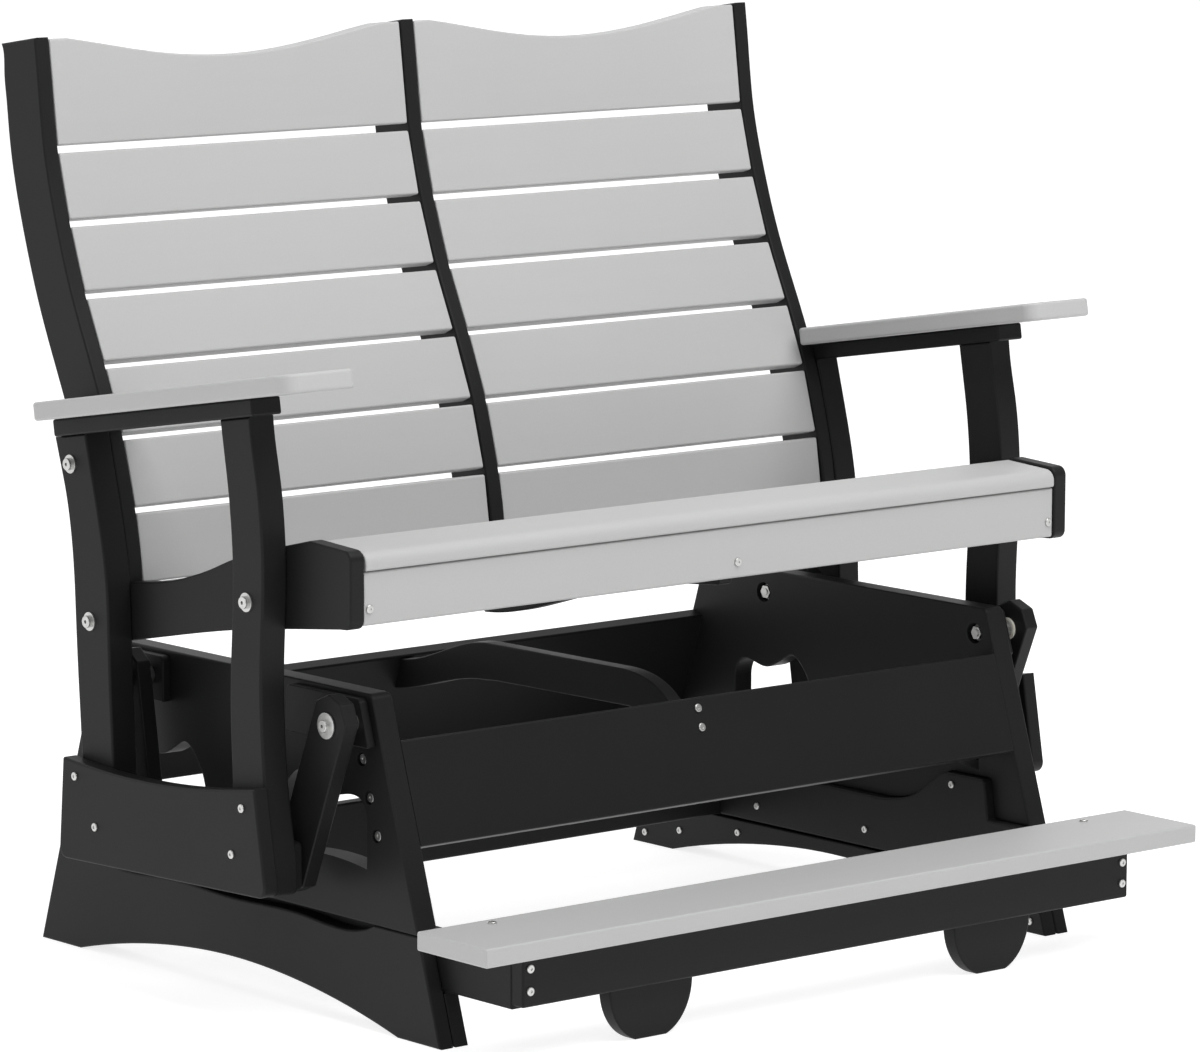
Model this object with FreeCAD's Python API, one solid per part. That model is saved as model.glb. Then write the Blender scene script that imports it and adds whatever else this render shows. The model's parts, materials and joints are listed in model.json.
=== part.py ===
# Two-seat counter-height glider swing in poly lumber.
# Millimetres. Origin on the floor at the middle of the footprint.
# +X is the sitter's left-hand side seen from the front (viewer's right),
# -Y is the front with the footrest, +Z is up.
import FreeCAD, Part
import math
import os

os.makedirs("parts", exist_ok=True)

# ---------------------------------------------------------------- sizes
BOARD = 22.2            # black board thickness
GREY = 24.0             # grey deck board thickness
EASE = 3.0              # routed edge on every board
SMALL_EASE = 2.0        # routed edge on slats and blocks
LAYER_GAP = 0.7         # play between a swing arm and what is beside it

# widths across X
BACK_HALF = 609.6       # outer face of the outer uprights and seat rails
BACK_IN = BACK_HALF - BOARD
POST_THICK = 38.1
POST_OUT = BACK_HALF + POST_THICK
SKIRT_OUT = POST_OUT + BOARD
BASE_HALF = BACK_HALF - 69.6    # outer face of the base sides
PANEL_THICK = 31.8
PANEL_IN = BASE_HALF - PANEL_THICK
FOOT_IN = BASE_HALF - BOARD
INNER_OUT = FOOT_IN - 0.7
INNER_IN = INNER_OUT - BOARD
BLOCK_THICK = 12.7      # spacer blocks between the sides and the swing arms
ARM_MID = BACK_HALF - 27.9
ARM_IN = ARM_MID - BOARD / 2.0
ARM_OUT = ARM_MID + BOARD / 2.0
SEAT_BLOCK_THICK = BACK_HALF - ARM_OUT - 4.2

# base side, an A-frame
FOOT_FRONT = -336.0
FOOT_REAR = 505.5
BASE_TOP = 424.0
BUTT = 134.5            # joint between the upper panel and the foot board
LEAN = 0.3184           # run of the sloping ends per unit of height
FOOT_FLAT = 85.5
ARCH_TOP = 45.0
INNER_TOP = 64.0
WINDOW_MIRROR = 64.0    # the two windows mirror about this Y
WINDOW_SHORT = 0.816    # the rear window's far lobe is this much shorter

# base rails
RAIL_THICK = 38.1
FRONT_RAIL_Z = 238.0
FRONT_RAIL_H = 134.0
REAR_RAIL_TOP = 349.0
REAR_RAIL_H = 139.7
LOW_RAIL_TOP = 164.0
LOW_RAIL_HALF = PANEL_IN - 0.4
BRACE_X = -24.0         # middle of the bridge between the rails

# footrest
STEP_HALF = BACK_HALF - 3.6
STEP_FRONT = -505.5
STEP_REAR = -372.0
STEP_TOP = 164.0
STEP_UNDER = STEP_TOP - GREY
STEP_RAIL_HALF = INNER_OUT + 0.3
STEP_RAIL_BACK = -445.0
STEP_RAIL_LOW = 72.0
STEP_ARM_LOW = 66.5
STEP_ARM_REAR = 318.0
LEG_X = 0.479 * BACK_HALF
LEG_HALF = 67.5

# linkage
PIVOT_FRONT = (-180.0, 388.0)
PIVOT_REAR = (244.0, 391.5)
LINK = 197.0            # pin to pin along a swing arm
FRONT_TILT = math.radians(21.9)
REAR_TILT = math.radians(9.2)
SEAT_FRONT = (PIVOT_FRONT[0] + LINK * math.sin(FRONT_TILT),
              PIVOT_FRONT[1] - LINK * math.cos(FRONT_TILT))
SEAT_REAR = (PIVOT_REAR[0] - LINK * math.sin(REAR_TILT),
             PIVOT_REAR[1] - LINK * math.cos(REAR_TILT))
LINK_HALF = 32.0
LINK_END = 36.5
PIN_R = 5.0
PIN_FIT = 0.05          # running clearance between pin and bore
BUSH_R = 9.0
OPEN_PLAY = 2.2         # extra bore play where the linkage loop is opened
OPEN_BUSH_R = 12.0
BUSH_FIT = 0.06
FLANGE_R = 15.0         # flange of a bushing, on the arm's inner face
FLANGE_T = 3.0
SPACER_R = 12.5
DISC_R = 16.5           # wide washer under a pivot bolt's head
WASHER_R = 12.0
WASHER_T = 1.8
HEAD_R = 7.8
HEAD_H = 5.6
SOCKET_R = 2.6
NUT_R = 9.6
NUT_T = 8.2
BORE_R = 14.0           # counterbore for the nut
BORE_DEEP = 12.0
BLOCK_LOW = 358.0
BLOCK_TOP = BASE_TOP - 6.0
BLOCK_INSET = 11.0      # from the sloping end of the side
BLOCK_REACH = 129.0     # upright edge of a block from the middle of the side
BLOCK_W = 56.0
BLOCK_H = 62.0

# seat and back
UPRIGHT_DEPTH = 76.0
SLAT_THICK = 20.0
SLAT_GAP = 9.0
SLAT_END_GAP = 1.5
CREST_DROP = 33.0
SEAT_SLAT = 82.0
SEAT_SET = 2.0          # slats sit this far under the rail top
RAIL_DROP = 3.2         # the middle rail stays this far under the slats
APRON_FRONT = -246.0
APRON_LOW = 519.4
CLEAT_THICK = 14.0
CLEAT_DEEP = 18.0

# arm rests
REST_TILT = math.radians(9.33)
REST_TOP_AT_0 = 797.6
REST_IN = BACK_HALF - 38.1
REST_OUT = BACK_HALF + 76.2
REST_FRONT = -217.0
REST_REAR = 318.0
REST_NOTCH = 252.0
WELL_R = 8.7            # counterbore over a rail screw
WELL_DEEP = 4.5
BRACE_IN = BACK_HALF + 0.3
BRACE_OUT = BACK_HALF + 46.2
BRACE_FRONT = -107.0
BRACE_REAR = 312.0

SIDES = (("left", -1), ("right", 1))

# front line of the back, foot to crest, as (Y, Z)
BACK_LINE = [(222.0, 442.0), (212.0, 475.0), (207.3, 517.8), (222.9, 614.6),
             (250.0, 706.5), (288.5, 795.5), (328.5, 881.0), (361.0, 970.5),
             (385.5, 1063.0), (393.5, 1120.0), (404.0, 1201.7)]
# rail top line, back to front
SEAT_LINE = [(208.0, 520.5), (190.0, 523.0), (142.5, 529.0), (89.5, 541.0),
             (36.5, 558.0), (-9.5, 576.0), (-65.0, 592.5), (-122.4, 607.0),
             (-166.0, 617.5)]
# slat rows on the back line: height of each row's lower edge
ROW_LOW = [1063.5, 970.5, 881.0, 795.0, 706.5, 614.5, 518.0]


# ---------------------------------------------------------------- helpers
def vec(x, y, z):
    return FreeCAD.Vector(x, y, z)


def unit(a, b):
    dy = b[0] - a[0]
    dz = b[1] - a[1]
    n = math.hypot(dy, dz)
    return (dy / n, dz / n)


def corner(before, here, after, r):
    """Start, middle and end of the arc that rounds one corner."""
    a = unit(here, before)
    b = unit(here, after)
    cosang = max(-1.0, min(1.0, a[0] * b[0] + a[1] * b[1]))
    half = math.acos(cosang) / 2.0
    run = r / math.tan(half)
    start = (here[0] + a[0] * run, here[1] + a[1] * run)
    end = (here[0] + b[0] * run, here[1] + b[1] * run)
    mid = ((a[0] + b[0]), (a[1] + b[1]))
    n = math.hypot(mid[0], mid[1])
    away = r / math.sin(half) - r
    top = (here[0] + mid[0] / n * away, here[1] + mid[1] / n * away)
    return start, top, end


def outline(items, place):
    """Closed wire from corner points (u, v[, radius]) and smooth runs.

    A list inside the items is a smooth run from the point before it to its
    own last point.  The closing line is always straight.
    """
    pts = []
    for it in items:
        if isinstance(it, list):
            pts.append([(it[-1][0], it[-1][1]), 0.0, it[:-1]])
        else:
            r = it[2] if len(it) > 2 else 0.0
            pts.append([(it[0], it[1]), r, []])
    n = len(pts)
    arcs = []
    for i in range(n):
        here = pts[i][0]
        if pts[i][1] > 0:
            arcs.append(corner(pts[i - 1][0], here, pts[(i + 1) % n][0], pts[i][1]))
        else:
            arcs.append((here, None, here))
    edges = []
    for i in range(n):
        j = (i + 1) % n
        a = arcs[i][2]
        b = arcs[j][0]
        if pts[j][2]:
            curve = Part.BSplineCurve()
            curve.interpolate([place(*a)] + [place(*m) for m in pts[j][2]] + [place(*b)])
            edges.append(curve.toShape())
        elif math.hypot(a[0] - b[0], a[1] - b[1]) > 1e-6:
            edges.append(Part.makeLine(place(*a), place(*b)))
        if arcs[j][1]:
            p = arcs[j]
            edges.append(Part.Arc(place(*p[0]), place(*p[1]), place(*p[2])).toShape())
    return Part.Wire(Part.__sortEdges__(edges))


def flat_edges(shape, axis, lo, hi):
    """Edges that lie wholly in one of the two end faces."""
    found = []
    for e in shape.Edges:
        c = [getattr(p, axis) for p in (v.Point for v in e.Vertexes)]
        for side in (lo, hi):
            if all(abs(q - side) < 1e-4 for q in c):
                found.append(e)
                break
    return found


def softened(shape, edges, r):
    """Round the edges, with a smaller radius where the full one will not fit."""
    for share in (1.0, 0.9, 0.8, 0.65, 0.5, 0.35):
        try:
            out = shape.makeFillet(r * share, edges)
        except Part.OCCError:
            continue
        if out.isValid() and 0.8 * shape.Volume < out.Volume < shape.Volume:
            return out
    print("rim left square", round(shape.BoundBox.XMin), round(shape.BoundBox.YMin))
    return shape


def eased(shape, axis, lo, hi, r):
    """Round the rims of both faces of a board."""
    if r <= 0:
        return shape
    return softened(shape, flat_edges(shape, axis, lo, hi), r)


def side_board(items, x0, x1, r=EASE):
    """A board cut to a Y-Z outline, running from x0 to x1."""
    lo = min(x0, x1)
    hi = max(x0, x1)
    wire = outline(items, lambda y, z: vec(lo, y, z))
    solid = Part.Face(wire).extrude(vec(hi - lo, 0, 0))
    return eased(solid, "x", lo, hi, r)


def plank(x0, x1, y0, y1, z0, z1, r=EASE):
    box = Part.makeBox(abs(x1 - x0), y1 - y0, z1 - z0, vec(min(x0, x1), y0, z0))
    if r <= 0:
        return box
    return box.makeFillet(r, box.Edges)


def rod(p, d, length, r):
    return Part.makeCylinder(r, length, p, d)


def hexagon(p, d, length, r):
    """Six-sided prism along X."""
    sign = 1 if d.x > 0 else -1
    ring = []
    for k in range(7):
        a = math.radians(60 * k)
        ring.append(vec(p.x, p.y + r * math.cos(a), p.z + r * math.sin(a)))
    return Part.Face(Part.makePolygon(ring)).extrude(vec(sign * length, 0, 0))


def offset_line(pts, d):
    """Points moved by d along the right-hand normal of the line."""
    out = []
    for i, p in enumerate(pts):
        a = pts[max(0, i - 1)]
        b = pts[min(len(pts) - 1, i + 1)]
        u = unit(a, b)
        out.append((p[0] + u[1] * d, p[1] - u[0] * d))
    return out


def at_height(line, z):
    """Y on a line of points at height z."""
    for a, b in zip(line, line[1:]):
        if (a[1] - z) * (b[1] - z) <= 0 and a[1] != b[1]:
            return a[0] + (b[0] - a[0]) * (z - a[1]) / (b[1] - a[1])
    return line[-1][0]


def dense(line, step=2.0):
    """The smooth line through the points, sampled closely."""
    curve = Part.BSplineCurve()
    curve.interpolate([vec(0, p[0], p[1]) for p in line])
    pts = curve.toShape().discretize(Distance=step)
    return [(p.y, p.z) for p in pts]


def front_edge(z, inset=0.0):
    return FOOT_FRONT + LEAN * z + inset


def rear_edge(z, inset=0.0):
    return FOOT_REAR - LEAN * z - inset


LEAN_N = math.hypot(1.0, LEAN)

nodes = {}              # name -> shape
bodies = {}             # name -> body


def put(name, shape, body):
    nodes[name] = shape
    bodies[name] = body


# ---------------------------------------------------------------- base sides
def arch(reach_low):
    """Arch under a foot board, from rear foot to front foot."""
    mid = (FOOT_FRONT + FOOT_REAR) / 2.0
    half = (FOOT_REAR - FOOT_FRONT) / 2.0 - FOOT_FLAT
    shape = ((1.0, 0.0), (0.70, 0.50), (0.36, 0.86), (0.0, 1.0),
             (-0.36, 0.86), (-0.70, 0.50), (-1.0, 0.0))
    return [(mid + half * s, reach_low + (ARCH_TOP - reach_low) * h) for s, h in shape]


def window_items(mirror):
    pts = [(320.0, 203.0), (320.0, 262.0, 8.0)]
    run = [(316.0, 280.0), (308.0, 289.0), (293.0, 293.0), (268.0, 289.5),
           (241.0, 286.5), (222.0, 291.5), (202.0, 302.5), (184.0, 309.5),
           (168.0, 300.5), (150.0, 277.0), (141.0, 250.0), (142.0, 222.0),
           (154.0, 203.0)]
    low = [(200.0, 208.0), (237.0, 209.5), (280.0, 208.0), (320.0, 203.0)]
    def place(p):
        y = p[0]
        if mirror:
            y = 2 * WINDOW_MIRROR - y
        elif y > 222.0:
            y = 222.0 + (y - 222.0) * WINDOW_SHORT
        return (y,) + tuple(p[1:])
    pts = [place(p) for p in pts]
    run = [place(p) for p in run]
    low = [place(p) for p in low]
    head = (pts[1][0], pts[1][1])
    return pts[0], head, run, low[:-1], low[-1]


def window_cut(mirror, x0, x1):
    foot, head, run, low, end = window_items(mirror)
    wire_items = [foot, head, run, low + [(foot[0] + 0.0, foot[1] - 0.001)]]
    return side_board(wire_items, x0, x1, 0.0)


def step_arm_items(grow=0.0):
    """Footrest arm with its gusset; grow opens it up for the pocket."""
    g = grow
    low = STEP_ARM_LOW if g == 0 else BUTT - 20.0
    top = STEP_UNDER + g
    front = STEP_RAIL_BACK if g == 0 else -320.0
    rear = STEP_ARM_REAR + g
    r = 2.0 if g == 0 else 0.0
    curve = [(-40.0, top + 3.0), (-85.0, top + 18.0), (-118.0, top + 42.0),
             (-140.0, 194.0 + g)]
    return [(front, low, r), (rear, low, r), (rear, top, r), (5.0, top),
            curve, (-216.0 - g, 194.0 + g, 6.0), (-224.0 - g, top + 1.0),
            (-236.0 - g, top), (front, top, r)]


def base_side(name, s):
    # upper panel
    panel_items = [(front_edge(BUTT), BUTT), (rear_edge(BUTT), BUTT),
                   (rear_edge(BASE_TOP), BASE_TOP, 10.0),
                   (front_edge(BASE_TOP), BASE_TOP, 10.0)]
    panel = side_board(panel_items, s * PANEL_IN, s * BASE_HALF, EASE)
    for mirror in (False, True):
        panel = panel.cut(window_cut(mirror, s * (PANEL_IN - 5), s * (BASE_HALF + 5)))
    for y0, y1 in ((-196.0, WINDOW_MIRROR), (WINDOW_MIRROR, 324.0)):
        for face in (PANEL_IN, BASE_HALF):
            rims = []
            for e in panel.Edges:
                b = e.BoundBox
                inside = b.YMin > y0 and b.YMax < y1 and b.ZMin > 195 and b.ZMax < 325
                if inside and abs(abs(b.XMin) - face) < 1e-3 and b.XLength < 1e-3:
                    rims.append(e)
            panel = softened(panel, rims, SMALL_EASE)
    pocket = side_board(step_arm_items(1.5), s * (PANEL_IN - 5), s * (FOOT_IN), 0.0)
    panel = panel.cut(pocket)
    put("side_panel_" + name, panel, "base")
    # outer foot board with a long shallow relief along its top edge
    mid = (FOOT_FRONT + FOOT_REAR) / 2.0
    relief = [(mid + 280.0, BUTT - 4.5), (mid + 140.0, BUTT - 9.5), (mid, BUTT - 12.0),
              (mid - 140.0, BUTT - 9.5), (mid - 280.0, BUTT - 4.5), (mid - 290.0, BUTT)]
    under = arch(0.0)
    outer = [(FOOT_FRONT, 0.0), (front_edge(BUTT), BUTT)]
    outer = [(FOOT_REAR, 0.0), (rear_edge(BUTT), BUTT), (mid + 290.0, BUTT), relief,
             (front_edge(BUTT), BUTT), (FOOT_FRONT, 0.0), under[-1], under[::-1][1:]]
    put("outer_foot_" + name, side_board(outer, s * FOOT_IN, s * BASE_HALF), "base")
    inner = [(FOOT_REAR, 0.0), (rear_edge(INNER_TOP), INNER_TOP),
             (front_edge(INNER_TOP), INNER_TOP), (FOOT_FRONT, 0.0), under[-1],
             under[::-1][1:]]
    put("inner_foot_" + name, side_board(inner, s * INNER_IN, s * INNER_OUT, SMALL_EASE),
        "base")
    put("footrest_arm_" + name,
        side_board(step_arm_items(), s * INNER_IN, s * INNER_OUT, EASE), "base")


def base_rails():
    up = (LEAN / LEAN_N, 1.0 / LEAN_N)
    inn = (1.0 / LEAN_N, -LEAN / LEAN_N)
    p = (front_edge(FRONT_RAIL_Z) + 0.8, FRONT_RAIL_Z)
    q = (p[0] + up[0] * FRONT_RAIL_H, p[1] + up[1] * FRONT_RAIL_H)
    items = [(p[0], p[1], EASE), (q[0], q[1], EASE),
             (q[0] + inn[0] * RAIL_THICK, q[1] + inn[1] * RAIL_THICK, EASE),
             (p[0] + inn[0] * RAIL_THICK, p[1] + inn[1] * RAIL_THICK, EASE)]
    put("base_front_rail", side_board(items, -PANEL_IN, PANEL_IN, 0.0), "base")
    # rear upper rail, flush with the sloping rear ends
    up = (-LEAN / LEAN_N, 1.0 / LEAN_N)
    inn = (-1.0 / LEAN_N, -LEAN / LEAN_N)
    q = (rear_edge(REAR_RAIL_TOP) - 0.8, REAR_RAIL_TOP)
    p = (q[0] - up[0] * REAR_RAIL_H, q[1] - up[1] * REAR_RAIL_H)
    items = [(p[0], p[1], EASE), (q[0], q[1], EASE),
             (q[0] + inn[0] * BOARD, q[1] + inn[1] * BOARD, EASE),
             (p[0] + inn[0] * BOARD, p[1] + inn[1] * BOARD, EASE)]
    put("base_rear_upper_rail", side_board(items, -PANEL_IN, PANEL_IN, 0.0), "base")
    put("base_rear_lower_rail",
        plank(-LOW_RAIL_HALF, LOW_RAIL_HALF, STEP_ARM_REAR, STEP_ARM_REAR + BOARD,
              STEP_ARM_LOW, LOW_RAIL_TOP), "base")
    # centre brace, a bridge between the two upper rails
    deep = RAIL_THICK * LEAN_N + 0.8
    thin = BOARD * LEAN_N + 0.8
    items = [(170.0, 335.2), (-92.0, 338.5),
             [(-128.0, 332.0), (-165.0, 316.0), (front_edge(306.0, deep), 306.0)],
             (front_edge(351.0, deep), 351.0),
             [(-165.0, 366.0), (-125.0, 382.0), (-85.0, 386.5)], (180.0, 384.0),
             [(240.0, 376.0), (290.0, 359.5), (rear_edge(338.0, thin), 338.0)],
             (rear_edge(296.0, thin), 296.0),
             [(290.0, 317.0), (245.0, 327.5), (200.0, 333.0)]]
    put("centre_brace", side_board(items, BRACE_X - BOARD / 2, BRACE_X + BOARD / 2,
                                   SMALL_EASE), "base")


def footrest():
    put("footrest_board", plank(-STEP_HALF, STEP_HALF, STEP_FRONT, STEP_REAR,
                                STEP_UNDER, STEP_TOP), "base")
    put("footrest_front_rail",
        plank(-STEP_RAIL_HALF, STEP_RAIL_HALF, STEP_RAIL_BACK - BOARD, STEP_RAIL_BACK,
              STEP_RAIL_LOW, STEP_UNDER), "base")
    legs = []
    for x in (-LEG_X, LEG_X):
        items = [(x + LEG_HALF, STEP_UNDER, 3.0), (x + LEG_HALF, 70.0),
                 [(x + 63.5, 42.0), (x + 48.5, 16.0), (x + 25.0, 0.0)],
                 (x - 25.0, 0.0),
                 [(x - 48.5, 16.0), (x - 63.5, 42.0), (x - LEG_HALF, 70.0)],
                 (x - LEG_HALF, STEP_UNDER, 3.0)]
        y0 = STEP_RAIL_BACK
        wire = outline(items, lambda a, b: vec(a, y0, b))
        leg = Part.Face(wire).extrude(vec(0, BOARD, 0))
        legs.append(eased(leg, "y", y0, y0 + BOARD, SMALL_EASE))
    put("footrest_legs", Part.makeCompound(legs), "base")


# ---------------------------------------------------------------- linkage
def pin_hole(pivot, x0, x1):
    lo = min(x0, x1)
    return rod(vec(lo - 5, pivot[0], pivot[1]), vec(1, 0, 0), abs(x1 - x0) + 10,
               PIN_R + PIN_FIT)


def base_block(pivot, x0, x1):
    """Spacer block: one end follows the sloping side, the other is upright."""
    mid = (FOOT_FRONT + FOOT_REAR) / 2.0
    front = pivot[0] < mid
    slope = front_edge if front else rear_edge
    near = mid - BLOCK_REACH if front else mid + BLOCK_REACH
    items = [(slope(BLOCK_LOW, BLOCK_INSET), BLOCK_LOW, 3.0), (near, BLOCK_LOW, 3.0),
             (near, BLOCK_TOP, 8.0), (slope(BLOCK_TOP, BLOCK_INSET), BLOCK_TOP, 8.0)]
    return side_board(items, x0, x1, SMALL_EASE).cut(pin_hole(pivot, x0, x1))


def seat_block(pivot, x0, x1):
    y, z = pivot
    items = [(y - BLOCK_W / 2, z - BLOCK_H / 2, 8.0), (y + BLOCK_W / 2, z - BLOCK_H / 2, 8.0),
             (y + BLOCK_W / 2, z + BLOCK_H / 2, 8.0), (y - BLOCK_W / 2, z + BLOCK_H / 2, 8.0)]
    return side_board(items, x0, x1, 1.5).cut(pin_hole(pivot, x0, x1))


def socket_head(p, d, washer_r=WASHER_R):
    """Washer and round head with a hexagon socket, outward along d."""
    washer = rod(p, d, WASHER_T, washer_r)
    top = p + d * WASHER_T
    head = rod(top, d, HEAD_H, HEAD_R)
    rims = [e for e in head.Edges if abs(e.CenterOfMass.x - (top + d * HEAD_H).x) < 1e-4]
    head = head.makeFillet(1.0, [e for e in rims if e.Curve.TypeId == "Part::GeomCircle"])
    socket = hexagon(top + d * (HEAD_H - 3.0), d, 4.0, SOCKET_R)
    return washer.fuse(head).cut(socket)


def swing_arms():
    for end, top, low in (("front", PIVOT_FRONT, SEAT_FRONT),
                          ("rear", PIVOT_REAR, SEAT_REAR)):
        along = unit(top, low)
        across = (along[1], -along[0])

        def at(a, b):
            return (top[0] + along[0] * a + across[0] * b,
                    top[1] + along[1] * a + across[1] * b)
        clip = 18.5
        shape = []
        for a, b in ((-LINK_END, -LINK_HALF + clip), (-LINK_END, LINK_HALF - clip),
                     (-LINK_END + clip, LINK_HALF), (LINK + LINK_END - clip, LINK_HALF),
                     (LINK + LINK_END, LINK_HALF - clip),
                     (LINK + LINK_END, -LINK_HALF + clip),
                     (LINK + LINK_END - clip, -LINK_HALF), (-LINK_END + clip, -LINK_HALF)):
            shape.append(at(a, b) + (4.0,))
        for name, s in SIDES:
            body = "arm_%s_%s" % (end, name)
            arm = side_board(shape, s * ARM_IN, s * ARM_OUT, 2.5)
            rings = []
            for k, (y, z) in enumerate((top, low)):
                open_pivot = end == "rear" and k == 1
                outer = OPEN_BUSH_R if open_pivot else BUSH_R
                inner = PIN_R + (OPEN_PLAY if open_pivot else PIN_FIT)
                p = vec(s * ARM_IN, y, z)
                d = vec(s, 0, 0)
                arm = arm.cut(rod(p - d * 5, d, BOARD + 10, outer + BUSH_FIT))
                ring = rod(p, d, BOARD, outer)
                if k == 0:
                    ring = ring.fuse(rod(p - d * FLANGE_T, d, FLANGE_T, FLANGE_R))
                ring = ring.cut(rod(p - d * 5, d, BOARD + 10, inner))
                rings.append(ring)
            put("swing_arm_%s_%s" % (end, name), arm, body)
            put("arm_bushings_%s_%s" % (end, name), Part.makeCompound(rings), body)


def pivots():
    base_blocks = []
    base_bolts = []
    seat_blocks = []
    seat_bolts = []
    for name, s in SIDES:
        d = vec(s, 0, 0)
        panel = nodes["side_panel_" + name]
        for pivot in (PIVOT_FRONT, PIVOT_REAR):
            y, z = pivot
            block_out = BASE_HALF + BLOCK_THICK
            base_blocks.append(base_block(pivot, s * BASE_HALF, s * block_out))
            seatface = vec(s * (ARM_OUT + LAYER_GAP), y, z)
            tail = s * (PANEL_IN + 1.5)
            shaft = rod(vec(tail, y, z), d, abs(seatface.x) - abs(tail) + 0.5, PIN_R)
            base_bolts.append(shaft.fuse(socket_head(seatface, d, DISC_R)))
            length = ARM_IN - FLANGE_T - LAYER_GAP - block_out
            p = vec(s * block_out, y, z)
            sleeve = rod(p, d, length, SPACER_R)
            base_bolts.append(sleeve.cut(rod(p - d, d, length + 2, PIN_R + PIN_FIT)))
            # nut and washer down the counterbore on the inner face
            floor_x = PANEL_IN + BORE_DEEP
            panel = panel.cut(rod(vec(s * (PANEL_IN - 5), y, z), d, BORE_DEEP + 5, BORE_R))
            panel = panel.cut(rod(vec(s * PANEL_IN, y, z), d, PANEL_THICK + 5,
                                  PIN_R + PIN_FIT))
            washer = rod(vec(s * (floor_x - WASHER_T), y, z), d, WASHER_T, WASHER_R)
            nut = hexagon(vec(s * (floor_x - WASHER_T), y, z), d * -1, NUT_T - 1, NUT_R)
            ring = washer.fuse(nut)
            ring = ring.cut(rod(vec(s * (PANEL_IN - 5), y, z), d, BORE_DEEP + 10,
                                PIN_R + PIN_FIT))
            base_bolts.append(ring)
        nodes["side_panel_" + name] = panel
        for pivot in (SEAT_FRONT, SEAT_REAR):
            y, z = pivot
            block_in = BACK_HALF - SEAT_BLOCK_THICK
            seat_blocks.append(seat_block(pivot, s * block_in, s * BACK_HALF))
            length = block_in - ARM_OUT - LAYER_GAP
            p = vec(s * (ARM_OUT + LAYER_GAP), y, z)
            ring = rod(p, vec(s, 0, 0), length, SPACER_R)
            seat_bolts.append(ring.cut(rod(p - d, d, length + 2, PIN_R + PIN_FIT)))
            face = vec(s * (ARM_IN - LAYER_GAP), y, z)
            length = BACK_HALF + 30.0 - abs(face.x)
            shaft = rod(face - d * 0.5, d, length + 0.5, PIN_R)
            seat_bolts.append(shaft.fuse(socket_head(face, d * -1, DISC_R)))
    put("base_pivot_blocks", Part.makeCompound(base_blocks), "base")
    put("base_pivot_bolts", Part.makeCompound(base_bolts), "base")
    put("seat_pivot_blocks", Part.makeCompound(seat_blocks), "seat")
    put("seat_pivot_bolts", Part.makeCompound(seat_bolts), "seat")


# ---------------------------------------------------------------- seat frame
def upright(x0, x1):
    line = dense(BACK_LINE, 6.0)
    back = offset_line(line, UPRIGHT_DEPTH)
    keep = lambda pts: pts[::6] + [pts[-1]]
    front_run = keep(line)
    back_run = keep(back)[::-1]
    top = (back_run[0][0] + 1.0, back_run[0][1])
    items = [front_run[0], front_run[1:], top, back_run[1:]]
    return side_board(items, x0, x1, EASE)


def rail_items():
    low = [(-119.0, 502.0), (-9.0, 486.5), (100.0, 466.5), (240.0, 438.5)]
    top = SEAT_LINE[1:]
    rear_top = (240.0, 521.0)
    return [(-249.0, 613.0, 13.0), (-249.0, 516.5, 12.0), (-226.0, 515.0), low,
            rear_top, (208.0, 520.5), top]


def centre_rail_items():
    """The middle rail runs under the seat slats, behind the apron."""
    under = offset_line(SEAT_LINE[1:-1], -(SEAT_SET + BOARD + RAIL_DROP))
    front = APRON_FRONT + BOARD
    low = [(-9.0, 476.0), (92.0, 448.0), (201.0, 419.2), (252.0, 413.2)]
    return [(front, 588.0), (front, 508.0, 6.0), (-119.0, 498.0), low,
            (262.0, 426.0), (262.0, 497.0, 3.0), under[0], under[1:],
            (-166.0, 590.0)]


def seat_frame():
    half = BOARD / 2.0
    for name, x0, x1 in (("left", -BACK_HALF, -BACK_IN), ("right", BACK_IN, BACK_HALF),
                         ("centre", -half, half)):
        put("upright_" + name, upright(x0, x1), "seat")
        if name == "centre":
            # lapped beside the middle upright
            rail = side_board(centre_rail_items(), half, half + BOARD, EASE)
        else:
            rail = side_board(rail_items(), x0, x1, EASE)
            foot = [(p[0] - 0.2, p[1]) for p in BACK_LINE[:4]]
            rail = rail.cut(side_board([foot[0], foot[1:], (400.0, 614.6), (400.0, 400.0),
                                        (222.0, 400.0)], x0 - 5, x1 + 5, 0.0))
        put("seat_rail_" + name, rail, "seat")
    put("seat_apron", plank(-BACK_IN, BACK_IN, APRON_FRONT, APRON_FRONT + BOARD,
                            APRON_LOW, 586.0), "seat")


def bays():
    return ((-BACK_IN + SLAT_END_GAP, -BOARD / 2 - SLAT_END_GAP),
            (BOARD / 2 + SLAT_END_GAP, BACK_IN - SLAT_END_GAP))


def tilted(a, b, thick, inward, set_in=0.0):
    """Four corners of a slat whose show face runs from a to b."""
    u = unit(a, b)
    n = (u[1] * inward, -u[0] * inward)
    a = (a[0] + n[0] * set_in, a[1] + n[1] * set_in)
    b = (b[0] + n[0] * set_in, b[1] + n[1] * set_in)
    return [a, b, (b[0] + n[0] * thick, b[1] + n[1] * thick),
            (a[0] + n[0] * thick, a[1] + n[1] * thick)]


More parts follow.
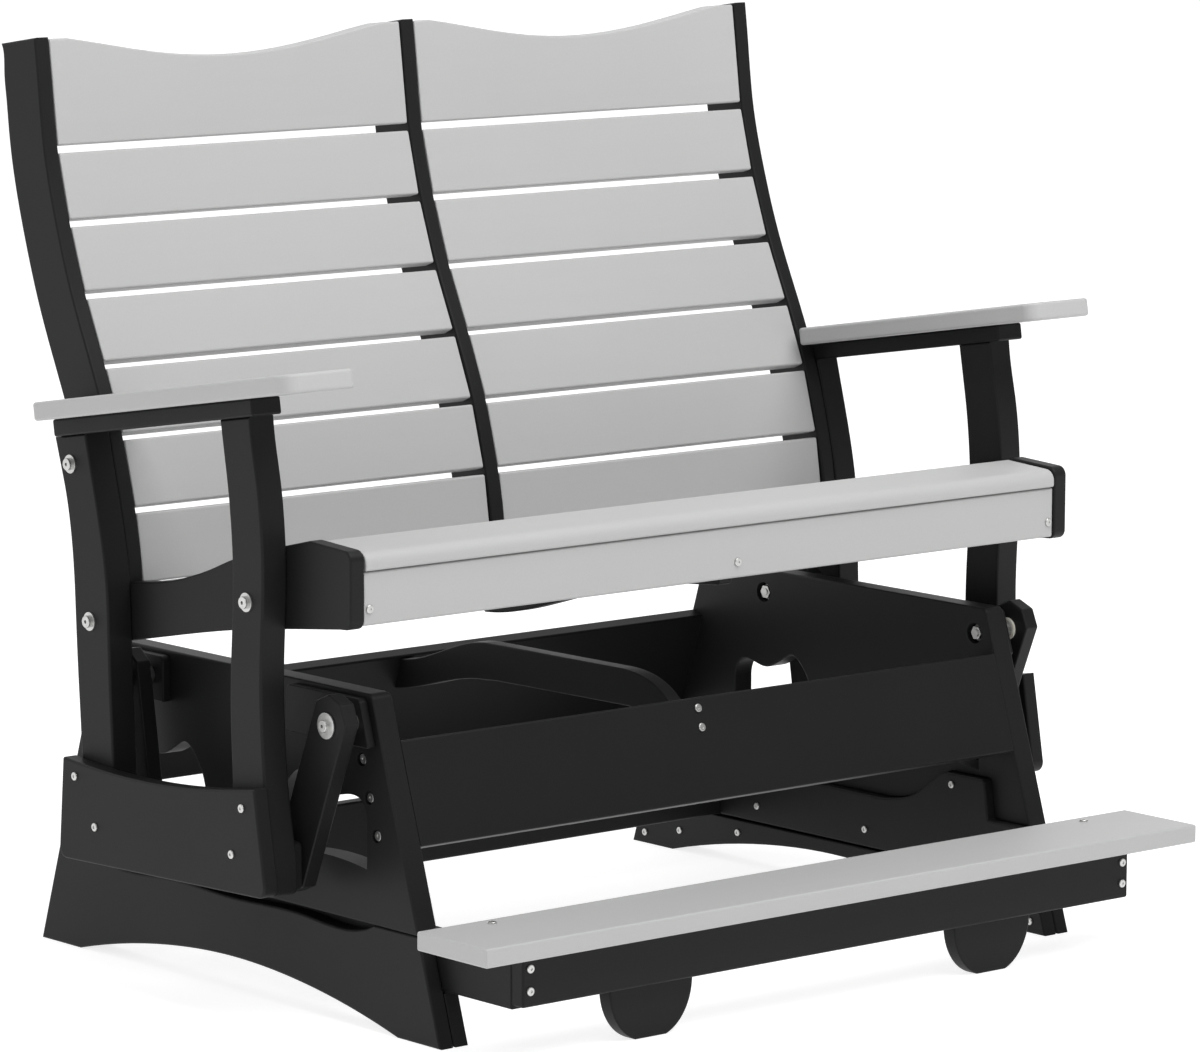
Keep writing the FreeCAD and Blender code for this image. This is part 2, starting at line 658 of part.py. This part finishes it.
def seat_slats(cleats):
    line = dense(SEAT_LINE)
    # walk forwards from the back, marking slat ends on the line
    front = [(-160.0, 615.0), (-250.0, 608.0)]
    rows = []
    total = 0.0
    marks = [0.0]
    for a, b in zip(line, line[1:]):
        total += math.hypot(b[0] - a[0], b[1] - a[1])
        marks.append(total)

    def on(s):
        for i in range(1, len(marks)):
            if marks[i] >= s:
                f = (s - marks[i - 1]) / (marks[i] - marks[i - 1])
                a, b = line[i - 1], line[i]
                return (a[0] + (b[0] - a[0]) * f, a[1] + (b[1] - a[1]) * f)
        return line[-1]
    stop = total - 17.0
    for k in range(4):
        hi = stop - k * (SEAT_SLAT + SLAT_GAP)
        lo = hi - SEAT_SLAT
        rows.append((on(lo), on(hi)))
    rows = [None] + rows
    full = ((-BACK_IN + SLAT_END_GAP, BACK_IN - SLAT_END_GAP),)
    for k, row in enumerate(rows):
        solids = []
        for x0, x1 in full:
            if row is None:
                items = [(-160.0, 615.0, 3.0), (-160.0, 593.0, 3.0), (-250.0, 587.0, 3.0),
                         (-250.0, 609.5, 15.0)]
                under = [(-175.0, 591.0), (-222.0, 586.9)]
            else:
                c = tilted(row[0], row[1], BOARD, -1, SEAT_SET)
                items = [p + (3.0,) for p in c]
                under = [c[3], c[2]]
            solids.append(side_board(items, x0, x1, SMALL_EASE))
            a, b = under
            u = unit(a, b)
            n = (-u[1], u[0])
            if row is None:
                continue
            span = math.hypot(b[0] - a[0], b[1] - a[1])
            p = (a[0] + u[0] * span * 0.12, a[1] + u[1] * span * 0.12)
            q = (b[0] - u[0] * span * 0.12, b[1] - u[1] * span * 0.12)
            c = [p, q, (q[0] + n[0] * CLEAT_THICK, q[1] + n[1] * CLEAT_THICK),
                 (p[0] + n[0] * CLEAT_THICK, p[1] + n[1] * CLEAT_THICK)]
            for e0, e1 in ((x0 - SLAT_END_GAP, x0 - SLAT_END_GAP + CLEAT_DEEP),
                           (x1 + SLAT_END_GAP - CLEAT_DEEP, x1 + SLAT_END_GAP)):
                cleats.append(side_board([w + (2.0,) for w in c], e0, e1, 1.0))
        put("seat_slat_%d" % (k + 1), solids[0], "seat")
    # front slat rests on the apron; blocks behind it tie it to the rails
    for x0, x1 in full:
        for e0, e1 in ((x0 - SLAT_END_GAP, x0 - SLAT_END_GAP + CLEAT_DEEP),
                       (x1 + SLAT_END_GAP - CLEAT_DEEP, x1 + SLAT_END_GAP)):
            cleats.append(side_board([(-223.4, 588.6), (-223.4, 560.0), (-168.0, 560.0),
                                      (-168.0, 592.3)], e0, e1, 1.0))


def back_slats(cleats):
    line = dense(BACK_LINE)
    for k, low in enumerate(ROW_LOW):
        top = 1199.5 if k == 0 else ROW_LOW[k - 1] - SLAT_GAP
        a = (at_height(line, low), low)
        b = (at_height(line, top), top)
        c = tilted(a, b, SLAT_THICK, 1, 1.5)
        solids = []
        for x0, x1 in bays():
            slat = side_board([p + (3.0,) for p in c], x0, x1, SMALL_EASE)
            if k == 0:
                mid = (x0 + x1) / 2.0
                half = (x1 - x0) / 2.0
                run = []
                for f in (-0.78, -0.55, -0.3, 0.0, 0.3, 0.55, 0.78):
                    drop = CREST_DROP * math.cos(f / 0.93 * math.pi / 2) ** 1.15
                    run.append((mid + f * half, top + 0.5 - drop))
                lead = 0.93 * half
                cut_items = [(mid - half * 1.1, top + 60.0), (mid - lead, top + 60.0),
                             (mid - lead, top + 0.5),
                             run + [(mid + lead, top + 0.5)],
                             (mid + lead, top + 60.0)]
                cut_items = cut_items[1:]
                wire = outline(cut_items, lambda p, q: vec(p, 300.0, q))
                scoop = Part.Face(wire).extrude(vec(0, 250.0, 0))
                slat = slat.cut(scoop)
                lip = []
                for e in slat.Edges:
                    q = e.BoundBox
                    if q.XLength > half and q.ZLength > 5.0 and q.ZMin > top - 60.0:
                        lip.append(e)
                if lip:
                    slat = softened(slat, lip, SMALL_EASE)
            solids.append(slat)
            u = unit(a, b)
            n = (u[1], -u[0])
            base = 1.5 + SLAT_THICK
            span = math.hypot(b[0] - a[0], b[1] - a[1])
            p0 = (a[0] + u[0] * 10 + n[0] * base, a[1] + u[1] * 10 + n[1] * base)
            p1 = (a[0] + u[0] * (span - 10) + n[0] * base, a[1] + u[1] * (span - 10) + n[1] * base)
            q = [p0, p1, (p1[0] + n[0] * CLEAT_THICK, p1[1] + n[1] * CLEAT_THICK),
                 (p0[0] + n[0] * CLEAT_THICK, p0[1] + n[1] * CLEAT_THICK)]
            for e0, e1 in ((x0 - SLAT_END_GAP, x0 - SLAT_END_GAP + CLEAT_DEEP),
                           (x1 + SLAT_END_GAP - CLEAT_DEEP, x1 + SLAT_END_GAP)):
                cleats.append(side_board([w + (2.0,) for w in q], e0, e1, 1.0))
        put("back_slat_%d" % (k + 1), Part.makeCompound(solids), "seat")


# ---------------------------------------------------------------- posts, arms
def brace_under(y):
    """Height of the underside of the arm brace at y."""
    drop = (GREY + BOARD) / math.cos(REST_TILT)
    return REST_TOP_AT_0 - math.tan(REST_TILT) * y - drop


def posts():
    fronts = [(-104.0, 725.0), (-111.4, 691.0), (-121.0, 618.0), (-122.6, 556.0),
              (-119.0, 480.0), (-117.7, 418.6), (-119.0, 385.0), (-125.5, 307.0),
              (-135.0, 250.0), (-141.5, 215.0), (-142.4, 192.0)]
    rears = [(-59.0, 240.0), (-58.5, 305.0), (-55.0, 381.0), (-56.0, 460.0),
             (-60.5, 561.0), (-56.2, 635.6), (-47.4, 696.8)]
    shape = [(-36.6, brace_under(-36.6)), (-97.5, brace_under(-97.5)), fronts,
             (-142.4, 172.0, 9.0), (-60.0, 172.0, 9.0), (-60.0, 200.0),
             rears]
    shape_rear = [(314.0, brace_under(314.0)), (247.6, brace_under(247.6)),
                  [(228.5, 640.0), (213.5, 580.0), (204.5, 528.9), (200.0, 450.0),
                   (198.0, 391.9), (192.0, 289.5), (190.0, 200.0)],
                  (190.0, 160.0, 9.0), (260.0, 160.0, 9.0), (260.0, 200.0),
                  [(264.0, 336.0), (269.0, 406.0), (272.2, 462.0), (275.3, 520.0),
                   (284.5, 596.4), (298.0, 650.0)]]
    for name, s in SIDES:
        post = side_board(shape, s * BACK_HALF, s * POST_OUT)
        put("front_post_" + name, post, "seat")
        post = side_board(shape_rear, s * BACK_HALF, s * POST_OUT)
        put("rear_post_" + name, post, "seat")
        skirt_items = [(271.5, 293.0, 3.0), [(219.0, 289.0), (125.0, 286.5), (51.0, 288.8),
                                            (-53.0, 298.5), (-132.0, 310.5)],
                       (-155.5, 175.2, 14.0), (281.5, 161.0, 14.0)]
        put("skirt_" + name, side_board(skirt_items, s * POST_OUT, s * SKIRT_OUT), "seat")


def tilt(shape):
    shape = shape.copy()
    shape.rotate(vec(0, 0, 0), vec(1, 0, 0), -math.degrees(REST_TILT))
    shape.translate(vec(0, 0, REST_TOP_AT_0))
    return shape


def arm_rests():
    grow = 1.0 / math.cos(REST_TILT)
    for name, s in SIDES:
        front = REST_FRONT * grow
        rear = REST_REAR * grow
        notch = REST_NOTCH * grow
        items = [(s * REST_IN, front, 20.0), (s * REST_OUT, front, 20.0),
                 (s * REST_OUT, rear, 16.0), (s * (BACK_HALF + 2.5), rear, 4.0),
                 (s * (BACK_HALF + 2.5), notch), (s * REST_IN, notch, 12.0)]
        wire = outline(items, lambda a, b: vec(a, b, -GREY))
        board = Part.Face(wire).extrude(vec(0, 0, GREY))
        board = eased(board, "z", -GREY, 0.0, 4.0)
        put("arm_rest_" + name, tilt(board), "seat")
        bar = plank(s * BRACE_IN, s * BRACE_OUT, BRACE_FRONT * grow, BRACE_REAR * grow,
                    -GREY - BOARD, -GREY)
        put("arm_brace_" + name, tilt(bar), "seat")


# ---------------------------------------------------------------- fasteners
def screw(p, d, head_r=5.5, shank=36.0):
    """Pan-head screw standing on a face, pointing along d into the wood."""
    head = rod(p, d * -1, 2.4, head_r)
    rims = [e for e in head.Edges if (e.CenterOfMass - (p - d * 2.4)).Length < 1e-3]
    head = head.makeFillet(1.2, rims)
    recess = rod(p - d * 1.4, d * -1, 3.0, 2.0)
    body = rod(p - d * 0.3, d, shank + 0.3, 2.4)
    return head.fuse(body).cut(recess), rod(p, d, shank + 0.5, 2.5)


def bolt(p, d, shank):
    head = socket_head(p, d * -1)
    body = rod(p - d * 0.5, d, shank + 0.5, 4.0)
    return head.fuse(body), rod(p, d, shank + 0.5, 4.1)


def fasteners():
    base = []
    seat = []
    into = (1.0 / LEAN_N, -LEAN / LEAN_N)
    for name, s in SIDES:
        d = vec(-s, 0, 0)
        for z in (340.0, 293.5, 247.5):
            y = front_edge(z, 46.5)
            seat_at = vec(s * (BASE_HALF - WELL_DEEP), y, z)
            base.append(screw(seat_at, d, 6.5, 60.0))
            well = rod(vec(s * (BASE_HALF + 1.0), y, z), d, WELL_DEEP + 1.0, WELL_R)
            nodes["side_panel_" + name] = nodes["side_panel_" + name].cut(well)
        for z in (335.0, 300.0):
            y = rear_edge(z, 12.5)
            base.append(screw(vec(s * BASE_HALF, y, z), d, 6.0, 60.0))
        out = vec(s, 0, 0)
        for y, z in ((239.0, 90.0), (17.0, 91.0), (-154.0, 179.0)):
            base.append(screw(vec(s * INNER_IN, y, z), out, 5.0, 38.0))
        for y, z in ((478.0, 16.0), (403.0, 30.0), (279.0, 46.0),
                     (-308.0, 16.0), (-233.0, 30.0), (-109.0, 46.0)):
            base.append(screw(vec(s * INNER_IN, y, z), out, 5.0, 36.0))
        arm_mid = (INNER_IN + INNER_OUT) / 2.0
        low_mid = (INNER_IN + LOW_RAIL_HALF) / 2.0
        base.append(screw(vec(s * arm_mid, -395.0, STEP_TOP), vec(0, 0, -1), 5.5, 50.0))
        for z in (120.0, 92.0):
            base.append(screw(vec(s * arm_mid, STEP_RAIL_BACK - BOARD, z), vec(0, 1, 0),
                              5.5, 60.0))
            base.append(screw(vec(s * low_mid, STEP_ARM_REAR + BOARD, z), vec(0, -1, 0),
                              5.5, 60.0))
        for k in (-50.0, 50.0):
            base.append(screw(vec(s * LEG_X + k, STEP_RAIL_BACK + BOARD, 112.0),
                              vec(0, -1, 0), 5.0, 36.0))
        seat.append(bolt(vec(s * POST_OUT, -90.0, 536.0), d, 55.0))
        seat.append(bolt(vec(s * POST_OUT, 279.3, 668.0), d, 55.0))
        seat.append(bolt(vec(s * POST_OUT, 240.0, 470.0), d, 55.0))
        for y, z in ((244.5, 271.5), (201.5, 212.0), (-107.5, 283.0), (-86.5, 222.0)):
            seat.append(screw(vec(s * SKIRT_OUT, y, z), d, 5.5, 50.0))
    for z in (352.0, 328.0):
        p = vec(BRACE_X, front_edge(z, 0.8), z)
        base.append(screw(p, vec(0, into[0], into[1]), 5.5, 70.0))
    cleat_mid = BACK_IN - CLEAT_DEEP / 2.0
    for x, shank in ((-cleat_mid, 20.0), (BOARD, 60.0), (cleat_mid, 20.0)):
        seat.append(screw(vec(x, APRON_FRONT, 540.0), vec(0, 1, 0), 5.5, shank))
    put("base_screws", Part.makeCompound([f[0] for f in base]), "base")
    put("seat_fasteners", Part.makeCompound([f[0] for f in seat]), "seat")
    drill("base", "base_screws", [f[1] for f in base])
    drill("seat", "seat_fasteners", [f[1] for f in seat])
    pins = []
    for name, s in SIDES:
        for y, z in (SEAT_FRONT, SEAT_REAR):
            pins.append(rod(vec(s * BACK_HALF, y, z), vec(s, 0, 0), 30.5, PIN_R + PIN_FIT))
    drill("seat", "seat_pivot_bolts", pins)


def drill(body, skip, tools):
    """Cut each fastener hole in every board of the body that it meets."""
    for name in list(nodes):
        if bodies[name] != body or name == skip or "bolts" in name:
            continue
        box = nodes[name].BoundBox
        for t in tools:
            if not box.intersect(t.BoundBox):
                continue
            if nodes[name].common(t).Volume > 1e-3:
                nodes[name] = nodes[name].cut(t)


def main():
    for name, s in SIDES:
        base_side(name, s)
    base_rails()
    footrest()
    swing_arms()
    pivots()
    seat_frame()
    seat_cleats = []
    seat_slats(seat_cleats)
    put("seat_cleats", Part.makeCompound(seat_cleats), "seat")
    back_cleats = []
    back_slats(back_cleats)
    put("back_cleats", Part.makeCompound(back_cleats), "seat")
    posts()
    arm_rests()
    fasteners()
    for name in sorted(nodes):
        shape = nodes[name]
        solids = len(shape.Solids)
        print("%-28s %-16s solids %3d valid %s" % (name, bodies[name], solids, shape.isValid()))
        shape.exportStep("parts/" + name + ".step")
    print(len(nodes), "nodes")


main()
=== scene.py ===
import json
import math
import bmesh
import bpy
from mathutils import Matrix, Vector

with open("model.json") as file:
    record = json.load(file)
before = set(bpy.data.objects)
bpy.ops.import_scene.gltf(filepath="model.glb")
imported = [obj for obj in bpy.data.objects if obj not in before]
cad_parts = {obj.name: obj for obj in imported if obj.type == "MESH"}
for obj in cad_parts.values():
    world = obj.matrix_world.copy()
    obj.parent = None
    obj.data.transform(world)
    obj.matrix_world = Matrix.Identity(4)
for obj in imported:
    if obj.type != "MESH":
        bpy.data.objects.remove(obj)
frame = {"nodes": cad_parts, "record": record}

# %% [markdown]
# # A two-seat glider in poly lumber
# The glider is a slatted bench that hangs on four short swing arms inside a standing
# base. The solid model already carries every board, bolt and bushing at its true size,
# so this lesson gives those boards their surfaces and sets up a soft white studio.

scene = bpy.context.scene
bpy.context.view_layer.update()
nodes = frame["nodes"]

# %% [markdown]
# ## Writing shaders as sums
# A surface is a small calculation that runs at every point. Blender can build it from
# nodes by hand, but a long chain of Math nodes is hard to read. Wrapping an output
# socket in a class that knows plus, minus and times lets the calculation be written as
# ordinary Python, and each operator adds one node.

# %% A socket that can be added and multiplied
class Wire:
    def __init__(self, tree, socket):
        self.tree = tree
        self.socket = socket

    def math(self, operation, first, second):
        return node(self.tree, "ShaderNodeMath", {"operation": operation}, [first, second])

    def __add__(self, other):
        return self.math("ADD", self, other)

    def __radd__(self, other):
        return self.math("ADD", other, self)

    def __sub__(self, other):
        return self.math("SUBTRACT", self, other)

    def __rsub__(self, other):
        return self.math("SUBTRACT", other, self)

    def __mul__(self, other):
        return self.math("MULTIPLY", self, other)

    def step(self, low, high):
        """0 below low, 1 above high, smooth between."""
        return node(self.tree, "ShaderNodeMapRange",
                    {"interpolation_type": "SMOOTHSTEP", "clamp": True},
                    {"Value": self, "From Min": low, "From Max": high})


def node(tree, kind, settings=None, inputs=None, output=0):
    """Add one node: settings first, then values or wires for its sockets."""
    made = tree.nodes.new(kind)
    for name, value in (settings or {}).items():
        setattr(made, name, value)
    pairs = inputs.items() if isinstance(inputs, dict) else enumerate(inputs or [])
    for key, value in pairs:
        socket = made.inputs[key]
        if isinstance(value, Wire):
            tree.links.new(value.socket, socket)
        else:
            socket.default_value = value
    return Wire(tree, made.outputs[output])


def blend(tree, share, first, second):
    """Mix two colours; share 0 gives the first."""
    made = tree.nodes.new("ShaderNodeMix")
    made.data_type = "RGBA"
    for key, value in ((0, share), (6, first), (7, second)):
        if isinstance(value, Wire):
            tree.links.new(value.socket, made.inputs[key])
        elif key == 0:
            made.inputs[key].default_value = value
        else:
            made.inputs[key].default_value = (*value, 1.0)
    return Wire(tree, made.outputs[2])


def new_surface(name):
    """An empty material with its shader, and a place to read positions from."""
    material = bpy.data.materials.new(name)
    material.use_nodes = True
    tree = material.node_tree
    tree.nodes.clear()
    shader = tree.nodes.new("ShaderNodeBsdfPrincipled")
    end = tree.nodes.new("ShaderNodeOutputMaterial")
    tree.links.new(shader.outputs[0], end.inputs[0])
    place = node(tree, "ShaderNodeTexCoord", output=3)
    return material, tree, shader, place


def feed(shader, name, wire):
    shader.id_data.links.new(wire.socket, shader.inputs[name])


print("shader helpers ready")

# %% [markdown]
# ## Poly lumber
# The boards are extruded from recycled plastic. Their skin is matt with a fine pebble
# that catches light as tiny sparks, a faint drift in tone from batch to batch, and
# rounded edges that the router leaves a touch smoother, with a painted highlight that
# makes them paler. All of it can be noise at different sizes: one colour recipe with
# other numbers serves grey and black boards.

# %% The poly lumber recipe
PEBBLE_SCALE = 620.0
GRIT_SCALE = 520.0
ROUTED_EDGE = 0.0022


def poly_lumber(name, colour, spark, pale, rough, streak, gloss):
    material, tree, shader, place = new_surface(name)
    stretched = node(tree, "ShaderNodeMapping", {},
                     {"Vector": place, "Scale": streak})
    drift = node(tree, "ShaderNodeTexNoise", {}, {"Vector": place, "Scale": 5.0,
                                                   "Detail": 3.0})
    drawn = node(tree, "ShaderNodeTexNoise", {}, {"Vector": stretched, "Scale": 60.0,
                                                   "Detail": 4.0, "Roughness": 0.6})
    pebble = node(tree, "ShaderNodeTexNoise", {}, {"Vector": place, "Scale": PEBBLE_SCALE,
                                                    "Detail": 2.0, "Roughness": 0.55})
    grit = node(tree, "ShaderNodeTexVoronoi", {"feature": "F1"},
                {"Vector": place, "Scale": GRIT_SCALE, "Randomness": 1.0})
    sparks = 1.0 - grit.step(0.08, 0.26)
    rounded = node(tree, "ShaderNodeBevel", {"samples": 4}, {"Radius": ROUTED_EDGE})
    flat = node(tree, "ShaderNodeNewGeometry", output=1)
    bend = node(tree, "ShaderNodeVectorMath", {"operation": "DOT_PRODUCT"},
                [rounded, flat], output=1)
    edge = 1.0 - bend.step(0.80, 0.995)
    # painted highlight: the rounded edges are painted paler in the base colour, streaked by
    # the drawn noise
    painted_edge_highlight = edge * (0.35 + drawn * 0.9)
    tone = (drift - 0.5) * 0.10 + (drawn - 0.5) * 0.07 + (pebble - 0.5) * 0.16
    dark = tuple(c * 0.86 for c in colour)
    light = tuple(min(1.0, c * 1.14) for c in colour)
    base = blend(tree, tone * 1.6 + 0.5, dark, light)
    base = blend(tree, sparks * 0.35, base, spark)
    # blend the painted edge highlight into the base colour
    base = blend(tree, painted_edge_highlight * 0.45, base, pale)
    feed(shader, "Base Color", base)
    feed(shader, "Roughness", rough + (drift - 0.5) * 0.12 + (pebble - 0.5) * 0.16
         - edge * 0.06)
    height = pebble * 0.6 + drawn * 0.25 + sparks * 0.4
    bump = node(tree, "ShaderNodeBump", {}, {"Strength": 0.22, "Distance": 0.0004,
                                              "Height": height})
    feed(shader, "Normal", bump)
    shader.inputs["Specular IOR Level"].default_value = gloss
    shader.inputs["IOR"].default_value = 1.49
    return material


# the third colour of each board is the colour of its painted edge highlight
grey_board = poly_lumber("light grey poly lumber", (0.405, 0.405, 0.405), (0.51, 0.51, 0.51),
                         (0.49, 0.49, 0.49), 0.52, (0.08, 1.0, 1.0), 0.5)
black_board = poly_lumber("black poly lumber", (0.0100, 0.0100, 0.0104),
                          (0.026, 0.026, 0.026), (0.030, 0.030, 0.031), 0.46,
                          (1.0, 0.35, 0.35), 0.15)
print(grey_board.name, "and", black_board.name)

# %% [markdown]
# ## Stainless steel and nylon
# Bolts, washers and screws are plain stainless, turned or pressed, so their faces carry
# fine rings and a few scuffs. The bushings are cut from natural nylon rod, which is a
# waxy off-white.

# %% Fastener steel and bushing nylon
def stainless():
    material, tree, shader, place = new_surface("stainless fastener steel")
    fine = node(tree, "ShaderNodeTexNoise", {}, {"Vector": place, "Scale": 900.0,
                                                  "Detail": 3.0})
    wide = node(tree, "ShaderNodeTexNoise", {}, {"Vector": place, "Scale": 120.0,
                                                  "Detail": 4.0})
    feed(shader, "Base Color", blend(tree, wide, (0.42, 0.42, 0.41), (0.68, 0.68, 0.67)))
    feed(shader, "Roughness", 0.24 + wide * 0.14 + fine * 0.10)
    bump = node(tree, "ShaderNodeBump", {}, {"Strength": 0.25, "Distance": 0.0001,
                                              "Height": fine})
    feed(shader, "Normal", bump)
    shader.inputs["Metallic"].default_value = 1.0
    return material


def nylon():
    material, tree, shader, place = new_surface("natural nylon")
    cloud = node(tree, "ShaderNodeTexNoise", {}, {"Vector": place, "Scale": 180.0,
                                                   "Detail": 3.0})
    feed(shader, "Base Color", blend(tree, cloud, (0.62, 0.60, 0.53), (0.76, 0.74, 0.67)))
    feed(shader, "Roughness", 0.38 + cloud * 0.14)
    bump = node(tree, "ShaderNodeBump", {}, {"Strength": 0.15, "Distance": 0.0002,
                                              "Height": cloud})
    feed(shader, "Normal", bump)
    shader.inputs["Subsurface Weight"].default_value = 0.05
    shader.inputs["Subsurface Scale"].default_value = 0.002
    return material


finishes = {"grey_poly": grey_board, "black_poly": black_board,
            "stainless": stainless(), "nylon": nylon()}
slot_of = {s["node"]: s["material_slot"] for s in frame["record"]["subparts"]}
for name, thing in nodes.items():
    thing.data.materials.clear()
    thing.data.materials.append(finishes[slot_of[name]])
print("finished", len(nodes), "parts")

# %% [markdown]
# ## Studio
# A product studio for a dark object is mostly white walls: the boards then show soft
# reflections instead of hard lamps. The sky is white behind the glider and dimmer in
# front of it, so the front faces of the black boards stay dark. One broad lamp overhead
# lights the tops, and a weak one at the front left softens the left sides. The floor
# glows a little, which takes the shadow under the glider almost to white.

# %% Floor, lamps and sky
FLOOR_GLOW = 0.80
SKY_REAR, SKY_FRONT = 1.06, 0.32
REARWARDS = (-0.25, 0.97, 0.0)
FLOOR_HALF = 30.0


def studio_floor():
    grid = bmesh.new()
    bmesh.ops.create_grid(grid, x_segments=1, y_segments=1, size=FLOOR_HALF)
    mesh = bpy.data.meshes.new("studio floor")
    grid.to_mesh(mesh)
    grid.free()
    floor = bpy.data.objects.new("studio_floor", mesh)
    scene.collection.objects.link(floor)
    material, tree, shader, place = new_surface("pale studio floor")
    soft = node(tree, "ShaderNodeTexNoise", {}, {"Vector": place, "Scale": 3.0,
                                                  "Detail": 2.0})
    feed(shader, "Base Color", blend(tree, soft, (0.49, 0.49, 0.49), (0.51, 0.51, 0.51)))
    shader.inputs["Roughness"].default_value = 0.95
    shader.inputs["Specular IOR Level"].default_value = 0.0
    shader.inputs["Emission Color"].default_value = (1.0, 1.0, 1.0, 1.0)
    shader.inputs["Emission Strength"].default_value = FLOOR_GLOW
    floor.data.materials.append(material)


def soft_lamp(name, at, towards, size, power):
    data = bpy.data.lights.new(name, "AREA")
    data.shape = "RECTANGLE"
    data.size, data.size_y = size
    data.energy = power
    lamp = bpy.data.objects.new(name, data)
    direction = Vector(towards) - Vector(at)
    turn = direction.to_track_quat("-Z", "Y").to_matrix().to_4x4()
    lamp.matrix_world = Matrix.Translation(at) @ turn
    scene.collection.objects.link(lamp)


studio_floor()
soft_lamp("overhead", (0.3, -2.2, 4.4), (0.0, -0.3, 0.3), (4.0, 4.0), 225.0)
soft_lamp("front left", (-3.2, -3.4, 2.6), (0.0, 0.0, 0.6), (2.6, 2.6), 8.0)
sky = bpy.data.worlds.new("white studio")
sky.use_nodes = True
tree = sky.node_tree
heading = node(tree, "ShaderNodeTexCoord", output=0)
towards_rear = node(tree, "ShaderNodeVectorMath", {"operation": "DOT_PRODUCT"},
                    [heading, REARWARDS], output=1)
glow = SKY_FRONT + towards_rear.step(-0.15, 0.50) * (SKY_REAR - SKY_FRONT)
backdrop = tree.nodes["Background"]
backdrop.inputs["Color"].default_value = (1.0, 1.0, 1.0, 1.0)
tree.links.new(glow.socket, backdrop.inputs["Strength"])
scene.world = sky
scene.view_settings.view_transform = "Standard"
print("studio lit")

# %% [markdown]
# ## Camera
# The view is from the front left, eight degrees above the horizon, through a long lens,
# so the parallel slats stay nearly parallel.

# %% Camera
AZIMUTH, ELEVATION, TILT = math.radians(-40.43), math.radians(8.45), math.radians(-0.24)
DISTANCE = 8.045
AIM_HEIGHT = 0.5602
SENSOR, FOCAL = 36.0, 184.4     # millimetres
aim = Vector((0.0, 0.0, AIM_HEIGHT))
back = Vector((math.sin(AZIMUTH) * math.cos(ELEVATION),
               -math.cos(AZIMUTH) * math.cos(ELEVATION), math.sin(ELEVATION)))
lens = bpy.data.cameras.new("studio camera")
lens.sensor_width = SENSOR
lens.lens = FOCAL
lens.clip_end = 100.0
camera = bpy.data.objects.new("studio camera", lens)
camera.matrix_world = (Matrix.Translation(aim + back * DISTANCE)
                       @ back.to_track_quat("Z", "Y").to_matrix().to_4x4()
                       @ Matrix.Rotation(-TILT, 4, "Z"))
scene.collection.objects.link(camera)
scene.camera = camera
print("camera at", [round(v, 3) for v in camera.matrix_world.translation])
